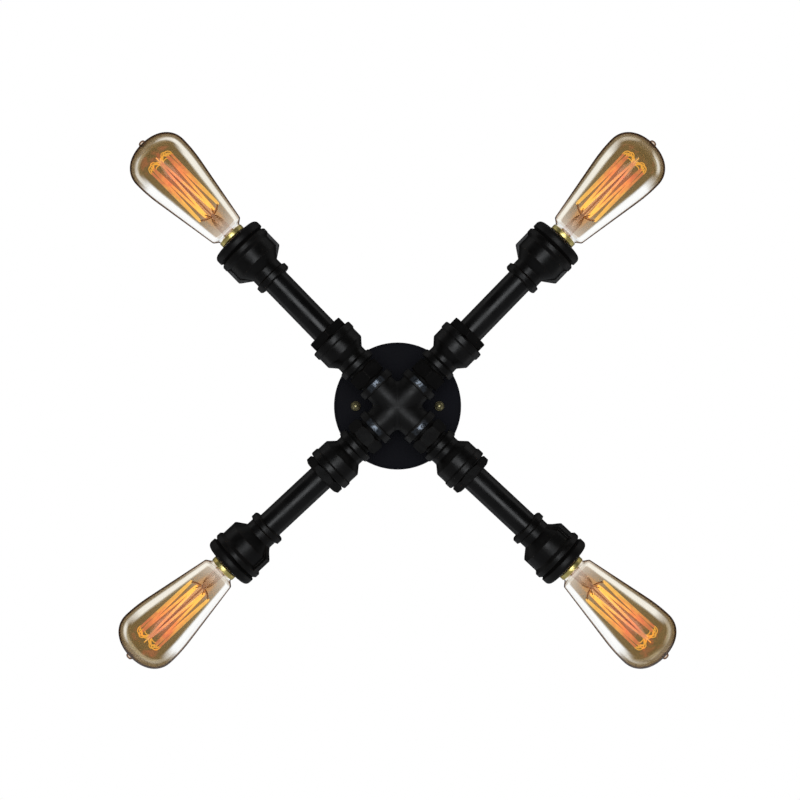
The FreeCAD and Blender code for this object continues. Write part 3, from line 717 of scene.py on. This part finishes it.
def tip_profile():
    """(x, radius) of the bead that seals the dome and reaches a little way into it."""
    middle = CAP_EDGE_MM + WIDEST_AT_MM + DOME_MM + 0.4
    half = (TIP_MM + 1.0) / 2
    bead = [(middle - half * math.cos(a), TIP_R_MM * math.sin(a) ** 0.8)
            for a in (math.pi * t / 18 for t in range(1, 18))]
    return [(bead[0][0], 0.0)] + bead + [(middle + half, 0.0)]


def envelope(arm, matrix):
    """Hollow glass of a bulb, amber outside and clear inside, and its sealed tip."""
    outer = glass_profile(OUTER_INSET_MM)
    inner = glass_profile(GLASS_WALL_MM)
    skin = new_piece("envelope_" + arm, turned(outer + inner[::-1], GLASS_FACETS, closed=True), "bulb_" + arm,
                     matrix, AMBER_WITH_PAINTED_LIGHT, ["bulb_glass_" + arm])
    skin.data.materials.append(CLEAR)
    for polygon in skin.data.polygons[(len(outer) - 1) * GLASS_FACETS:]:
        polygon.material_index = 1
    new_piece("tip_" + arm, turned(tip_profile(), SMALL_FACETS), "bulb_" + arm, matrix, TIP, ())


def screw_cap(arm, matrix):
    """Screw cap of a bulb: rolled thread, collar at the glass and rounded base at the foot."""
    start = CAP_EDGE_MM - CAP_LENGTH_MM
    thread = start + CAP_BASE_MM
    step = CAP_EDGE_MM - CAP_RIM_LENGTH_MM
    crest = CAP_CREST_MM
    rim = CAP_RIM_R_MM
    wall = CAP_WALL_MM
    collar = [(step, crest), (step + 0.5, crest + 0.15), (step + 0.9, rim - 0.1), (step + 1.3, rim),
              (CAP_EDGE_MM - 0.5, rim), (CAP_EDGE_MM - 0.15, rim - 0.1), (CAP_EDGE_MM, rim - 0.35),
              (CAP_EDGE_MM - 0.15, rim - wall), (step + 1.3, rim - wall), (step, crest - wall)]
    base = [(thread, crest), (start + 0.5, crest - 0.25), (start + 0.1, crest - 0.9), (start, FOOT_R_MM),
            (start + wall, FOOT_R_MM), (thread, crest - wall)]
    for name, shape, replaced in (("cap_thread_", threaded_tube(thread, step, crest), ["bulb_cap_" + arm]),
                                  ("cap_collar_", turned(collar, closed=True), ()),
                                  ("cap_base_", turned(base, closed=True), ())):
        new_piece(name + arm, shape, "bulb_" + arm, matrix, CAP_BRASS, replaced)


def at(x, r, angle):
    """Point beside the bulb's axis, x from the cap's edge, in millimetres."""
    return (CAP_EDGE_MM + x, r * math.cos(angle), r * math.sin(angle))


def stem(arm, matrix):
    """Flared stem, its pinch and the rod with the bead that carries the crown."""
    flare = GLASS_NECK_R_MM - GLASS_WALL_MM - 0.1
    profile = [(-GLASS_IN_CAP_MM, 0), (-GLASS_IN_CAP_MM, flare), (-4.6, flare), (-3.6, flare - 1.6),
               (-2.0, flare - 3.8), (0.5, STEM_R_MM + 0.6), (3.5, STEM_R_MM), (12, STEM_R_MM - 0.3),
               (PINCH_AT_MM - 6, STEM_R_MM - 0.6), (PINCH_AT_MM - 2, STEM_R_MM - 1.6), (PINCH_AT_MM, 2.6),
               (PINCH_AT_MM + 1.6, 1.6), (PINCH_AT_MM + 3.0, ROD_R_MM), (ROD_TOP_MM - 6, ROD_R_MM),
               (ROD_TOP_MM - 4.6, 1.3), (ROD_TOP_MM - 2.4, 1.7), (ROD_TOP_MM - 0.7, 1.2), (ROD_TOP_MM, 0)]
    shape = turned([(CAP_EDGE_MM + x, r) for x, r in profile], SMALL_FACETS)
    new_piece("stem_" + arm, shape, "bulb_" + arm, matrix, STEM, ["bulb_stem_" + arm])


def filament_cage(arm, matrix):
    """One filament strand that runs up and down between the crown at the rod's top and the hooks at the pinch."""
    pitch = TAU / CAGE_TURNS
    hooks = []
    crown = []
    strand = []
    for k in range(CAGE_TURNS):
        top, low, following = k * pitch, (k + 0.5) * pitch, (k + 1) * pitch
        crown.append([at(ROD_TOP_MM - CROWN_AT_MM, 1.2, top), at(ROD_TOP_MM + 0.5, CAGE_R_MM * 0.3, top),
                      at(ROD_TOP_MM + 4.4, CAGE_R_MM * 0.62, top), at(CAGE_HIGH_MM + 5.6, CAGE_R_MM + 0.2, top),
                      at(CAGE_HIGH_MM, CAGE_R_MM + 1.4, top), at(CAGE_HIGH_MM - 2.2, CAGE_R_MM + 0.2, top)])
        crown.append([at(CAGE_HIGH_MM - 1.0, CAGE_R_MM, top),
                      at(CAGE_HIGH_MM + 2.6, CAGE_R_MM * 0.96, top + 0.12),
                      at(CAGE_HIGH_MM + 3.2, CAGE_R_MM * 0.92, low),
                      at(CAGE_HIGH_MM + 2.6, CAGE_R_MM * 0.96, following - 0.12),
                      at(CAGE_HIGH_MM - 1.0, CAGE_R_MM, following)])
        hooks.append([at(PINCH_AT_MM + 0.8, 1.6, low), at(PINCH_AT_MM + 2.2, CAGE_R_MM * 0.55, low),
                      at(CAGE_LOW_MM - 0.8, CAGE_R_MM - 0.8, low), at(CAGE_LOW_MM - 0.2, CAGE_R_MM + 0.5, low),
                      at(CAGE_LOW_MM + 1.0, CAGE_R_MM + 0.8, low)])
        for x, inward, angle in ((CAGE_HIGH_MM, -LOOP_MM, top), (CAGE_LOW_MM, LOOP_MM, low)):
            strand += [at(x + inward, CAGE_R_MM, angle - LOOP_ANGLE * LOOP_SPREAD),
                       at(x, CAGE_R_MM, angle - LOOP_ANGLE), at(x, CAGE_R_MM, angle + LOOP_ANGLE),
                       at(x + inward, CAGE_R_MM, angle + LOOP_ANGLE * LOOP_SPREAD)]
    body = "bulb_" + arm
    tube_curve("hooks_" + arm, hooks, HOOK_R_MM, body, matrix, HOOK_WIRE)
    tube_curve("crown_" + arm, crown, HOOK_R_MM, body, matrix, CROWN_PAINTED_GLOW)
    tube_curve("filament_" + arm, [strand], STRAND_R_MM, body, matrix, GLOW, ["bulb_filament_" + arm],
               resolution=5)


# ---------------------------------------------------------------- cap nuts


def cap_nuts():
    """Round brass nuts with a knurled skirt, a plain groove and a smooth dome, blind bored."""
    skirt = NUT_SKIRT_MM
    for side in ("left", "right"):
        node = "cap_nut_" + side
        low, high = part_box(node)
        centre = (low + high) / 2
        radius = (high.x - low.x) / 2 / MM
        length = (high.y - low.y) / MM
        dome = radius - 0.55
        rise = length - skirt - 0.3
        profile = [(NUT_BORE_MM, 0.0), (NUT_BORE_MM, NUT_BORE_R_MM), (0.0, NUT_BORE_R_MM), (0.0, radius - 0.4),
                   (0.25, radius - 0.1), (0.6, radius), (skirt - 0.4, radius), (skirt - 0.1, radius - 0.15),
                   (skirt, radius - 0.4), (skirt + 0.1, dome - 0.1)]
        profile += [(skirt + 0.3 + rise * math.sin(a), dome * math.cos(a))
                    for a in (math.pi / 2 * k / 12 for k in range(12))] + [(length, 0.0)]
        vertices, faces = turned(profile, NUT_KNURLS * 4)
        knurled = []
        for index, (x, y, z) in enumerate(vertices):
            r = math.hypot(y, z)
            if 0.5 * MM < x < (skirt - 0.3) * MM and r > (dome + 0.1) * MM and index % 4 > 1:
                cut = 1 - NUT_KNURL_DEPTH_MM * MM / r
                y, z = y * cut, z * cut
            knurled.append((x, y, z))
        place = Matrix.Translation(Vector((centre.x, high.y, centre.z))) @ Matrix.Rotation(-math.pi / 2, 4, "Z")
        new_piece("nut_" + side, (knurled, faces), node + "_body", place, NUT_BRASS, [node])


# ---------------------------------------------------------------- lampholders and wires


def holder_rims():
    """Rounded black rims that cover the mouths of the cups."""
    radius = RIM_OD_MM / 2
    bore = RIM_BORE_MM / 2
    groove = GROOVE_OD_MM / 2
    nose = RIM_NOSE_MM
    back = RIM_FACE_MM - RIM_THICK_MM
    mouth = CUP_MOUTH_MM + 0.01
    profile = [(HOLDER_FRONT_MM, bore), (HOLDER_FRONT_MM, RIM_SKIRT_R_MM), (mouth, RIM_SKIRT_R_MM), (mouth, groove),
               (back, groove), (back, radius - 0.5), (back + 0.15, radius - 0.15), (back + 0.5, radius)]
    profile += [(RIM_FACE_MM - nose * (1 - math.sin(a)), radius - nose * (1 - math.cos(a)))
                for a in (math.pi / 2 * k / 12 for k in range(13))]
    profile += [(RIM_FACE_MM, bore + 0.8), (RIM_FACE_MM - 0.25, bore + 0.25), (RIM_FACE_MM - 0.8, bore)]
    for arm in ARM_NAMES:
        new_piece("rim_" + arm, turned(profile, closed=True), "fixture", arm_matrix(arm), RIM,
                  ["holder_ring_" + arm])


def holder_threads():
    """Rolled thread of the brass shells in the lampholders, one per arm."""
    for arm in ARM_NAMES:
        shape = threaded_tube(SHELL_START_MM, SHELL_START_MM + SHELL_LENGTH_MM, SHELL_CREST_MM)
        new_piece("shell_" + arm, shape, "fixture", arm_matrix(arm), SHEET_BRASS, ["holder_shells"])


def lead_wires():
    """Each arm's pair of wires: along the bore, round into the stand-off nipple, stripped at the end."""
    back = Vector((0, 1, 0))
    for arm in ARM_NAMES:
        turn = joint("bulb_turn_" + arm)
        out = Vector(turn["axis"]).normalized()
        axis = Vector((0, turn["pos_m"][1] / MM, 0))
        for side, finish, kind in ((-1, LIVE, "black"), (1, NEUTRAL, "white")):
            lane = axis + out.cross(back) * (side * WIRE_PAIR_MM / 2)
            corner = lane + out * WIRE_LANE_MM
            strip = Vector((corner.x, -WIRE_TAIL_MM - WIRE_STRIP_MM, corner.z))
            end = Vector((corner.x, -WIRE_TAIL_MM, corner.z))
            route = [lane + out * HOLDER_BACK_MM, lane + out * (HOLDER_BACK_MM / 2),
                     corner + out * (WIRE_BEND_MM * 1.5), corner + out * (WIRE_BEND_MM * 0.55),
                     corner + back * (WIRE_BEND_MM * 0.55), corner + back * (WIRE_BEND_MM * 1.5), strip]
            tube_curve("wire_%s_%s" % (kind, arm), [route], WIRE_R_MM, "fixture", Matrix(), finish,
                       ["lead_wires"])
            core = [strip - back, strip.lerp(end, 0.5), end]
            tube_curve("core_%s_%s" % (kind, arm), [core], WIRE_CORE_R_MM, "fixture", Matrix(), COPPER)


# ---------------------------------------------------------------- studio

CAMERA_DISTANCE = 2.0          # from the plane of the arms
PICTURE_WIDTH = 0.779          # width of the picture at the plane of the arms
SENSOR = 0.036
CENTRE_PIXEL = (397.5, 406.2)  # where the centre of the cross lies in the picture
PICTURE_PIXELS = 800

FRONT_LAMP_AT = (0.0, -2.7, 0.12)   # from the plane of the arms, as the camera's distance is
FRONT_LAMP_SIZE = (1.35, 1.35)
FRONT_LAMP_POWER = 28
FRONT_LAMP_COLOUR = (0.94, 0.97, 1.0)
SIDE_LAMPS = {                      # places behind the arms, which light the outlines
    "upper_left": (-1.25, 0.0, 1.2), "upper_right": (1.25, 0.0, 1.2),
    "lower_left": (-1.25, 0.45, -1.2), "lower_right": (1.25, 0.45, -1.2),
}
SIDE_LAMP_SIZE = (0.5, 0.9)
SIDE_LAMP_POWER = 0.8
SOFT_COLOUR = (0.92, 0.95, 1.0, 1)
SOFT_LEVEL = 0.58
# what gloss sees, from the camera's side (0) to behind the object (1): walls beside it, dark before and behind it
GLOSS_WALLS = [(0.20, 0.03), (0.46, 0.08), (0.60, 0.24), (0.76, 0.24), (0.86, 0.03)]
FLOOR_HEIGHT = -2.4                 # low enough that a camera below the object stays above it
FLOOR_HALF_WIDTH = 6.0
FLOOR_COLOUR = (0.42, 0.42, 0.42, 1)


def area_light(name, place, target, size, power, colour=(1, 1, 1)):
    """Soft lamp that faces the target and can't be seen through glass."""
    data = bpy.data.lights.new(name, "AREA")
    data.shape = "RECTANGLE"
    data.size, data.size_y = size
    data.energy = power
    data.color = colour
    lamp = bpy.data.objects.new(name, data)
    bpy.context.scene.collection.objects.link(lamp)
    lamp.visible_transmission = False
    lamp.location = place
    lamp.rotation_euler = (Vector(target) - Vector(place)).to_track_quat("-Z", "Y").to_euler()


def world():
    """Soft light all round, white to the camera and through glass, dimmer walls to gloss."""
    scene = bpy.context.scene
    scene.world = bpy.data.worlds.new("studio")
    scene.world.use_nodes = True
    w = Tree(scene.world.node_tree)
    w.tree.nodes.clear()
    white = w.add("ShaderNodeBackground", Color=(1, 1, 1, 1))
    soft = w.add("ShaderNodeBackground", Color=SOFT_COLOUR, Strength=SOFT_LEVEL)
    gloss = w.add("ShaderNodeBackground")
    across = w.math("MULTIPLY_ADD", w.part(w.place("Generated"), "Y"), 0.5, 0.5)
    w.link(w.ramp(across, GLOSS_WALLS), gloss.inputs["Color"])
    light = w.add("ShaderNodeMixShader")
    w.feed(light.inputs, (w.add("ShaderNodeLightPath").outputs["Is Glossy Ray"], soft.outputs["Background"],
                          gloss.outputs["Background"]))
    every = w.add("ShaderNodeMixShader")
    w.feed(every.inputs, (w.seen(), light.outputs["Shader"], white.outputs["Background"]))
    w.link(every.outputs["Shader"], w.add("ShaderNodeOutputWorld").inputs["Surface"])


def floor():
    """Pale floor well below the fitting: white to the camera and through glass, grey to light and gloss."""
    size = FLOOR_HALF_WIDTH
    mesh = bpy.data.meshes.new("floor")
    mesh.from_pydata([(-size, -size, 0), (size, -size, 0), (size, size, 0), (-size, size, 0)], [], [(0, 1, 2, 3)])
    slab = bpy.data.objects.new("floor", mesh)
    slab.location = (0, 0, FLOOR_HEIGHT)
    bpy.context.scene.collection.objects.link(slab)
    m = Nodes("floor_pale")
    m.set(Base_Color=FLOOR_COLOUR, Roughness=0.9, Emission_Color=(1, 1, 1, 1))
    m.to(m.seen(), "Emission Strength")
    mesh.materials.append(m.material)


def camera(plane):
    """Camera square to the wall, at the photograph's scale and framing."""
    data = bpy.data.cameras.new("camera")
    data.sensor_width = SENSOR / MM
    data.lens = SENSOR / MM * CAMERA_DISTANCE / PICTURE_WIDTH
    data.clip_end = 50
    view = bpy.data.objects.new("camera", data)
    bpy.context.scene.collection.objects.link(view)
    scale = PICTURE_WIDTH / PICTURE_PIXELS
    aside = (PICTURE_PIXELS / 2 - CENTRE_PIXEL[0]) * scale
    up = (CENTRE_PIXEL[1] - PICTURE_PIXELS / 2) * scale
    view.location = (aside, plane - CAMERA_DISTANCE, up)
    view.rotation_euler = (math.pi / 2, 0, 0)
    bpy.context.scene.camera = view


def studio():
    """Lamps, world, floor and camera, placed from the plane of the arms."""
    plane = joint("bulb_turn_upper_left")["pos_m"][1]
    centre = (0, plane, 0)
    area_light("front", Vector(centre) + Vector(FRONT_LAMP_AT), centre, FRONT_LAMP_SIZE, FRONT_LAMP_POWER,
               FRONT_LAMP_COLOUR)
    for name, place in SIDE_LAMPS.items():
        area_light(name, place, centre, SIDE_LAMP_SIZE, SIDE_LAMP_POWER)
    world()
    floor()
    camera(plane)
    bpy.context.scene.view_settings.view_transform = "Standard"


def main():
    finish_nodes()
    for arm in ARM_NAMES:
        matrix = arm_matrix(arm)
        envelope(arm, matrix)
        screw_cap(arm, matrix)
        stem(arm, matrix)
        filament_cage(arm, matrix)
    holder_threads()
    holder_rims()
    cap_nuts()
    lead_wires()
    studio()


main()
